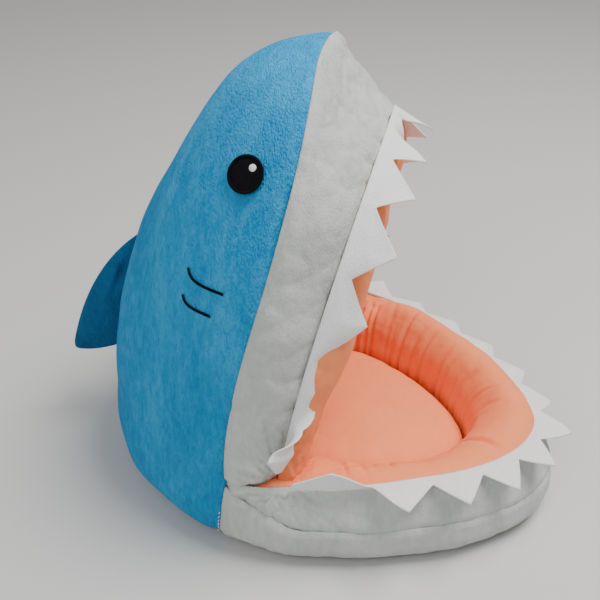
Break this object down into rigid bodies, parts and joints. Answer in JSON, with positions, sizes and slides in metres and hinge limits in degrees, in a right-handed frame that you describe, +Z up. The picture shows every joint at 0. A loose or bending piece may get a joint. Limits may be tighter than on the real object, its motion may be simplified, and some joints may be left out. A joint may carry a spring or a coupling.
{
  "type": "plush shark pet bed",
  "caption": "Stuffed shark head with a wide open mouth that a small pet climbs into, with felt teeth, a padded jaw and a dorsal fin.",
  "frame": {"origin": "under the middle of the part's box, on the surface that it stands on", "axes": "+Z up, the open mouth faces -Y, the shark's right side is -X"},
  "size_m": [0.3988, 0.5367, 0.4397],
  "materials": {
    "blue_plush": "short dense directional pile",
    "fin_plush": "short dense directional pile",
    "white_plush": "short smooth pile",
    "peach_cloth": "soft matte brushed",
    "felt": "matte pressed felt",
    "black_thread": "satin embroidery",
    "white_thread": "satin embroidery",
    "base_cloth": "plain woven",
    "wadding": "loose polyester fibre"
  },
  "bodies": {
    "base": {"bottom_panel": "base_cloth", "jaw_stuffing": "wadding", "jaw_lower_band": "white_plush", "jaw_upper_band": "white_plush", "right_rear_panel": "blue_plush", "left_rear_panel": "blue_plush", "bolster_cover": "peach_cloth", "lower_teeth": "felt", "pad_filling": "wadding", "pad_cover": "peach_cloth", "closing_stitches": "white_thread"},
    "hood": {"hood_stuffing": "wadding", "right_head_panel": "blue_plush", "left_head_panel": "blue_plush", "mouth_band": "white_plush", "mouth_lining": "peach_cloth", "upper_teeth": "felt", "right_eye_patch": "black_thread", "right_eye_rim": "black_thread", "right_eye_glint": "white_thread", "right_gill_stitches": "black_thread", "left_eye_patch": "black_thread", "left_eye_rim": "black_thread", "left_eye_glint": "white_thread", "left_gill_stitches": "black_thread"},
    "fin": {"fin_stuffing": "wadding", "fin_right_face": "fin_plush", "fin_left_face": "fin_plush"}
  },
  "joints": [
    {"name": "hood_tilt", "type": "hinge", "parent": "base", "child": "hood", "pos_m": [0, -0.039, 0.087], "axis": [1, 0, 0], "range_deg": [0, 10], "stiffness_Nm_per_rad": 6},
    {"name": "fin_sway", "type": "hinge", "parent": "hood", "child": "fin", "pos_m": [0, 0.2126, 0.094], "axis": [0, -0.2179, 0.976], "range_deg": [-25, 25], "stiffness_Nm_per_rad": 0.12}
  ]
}
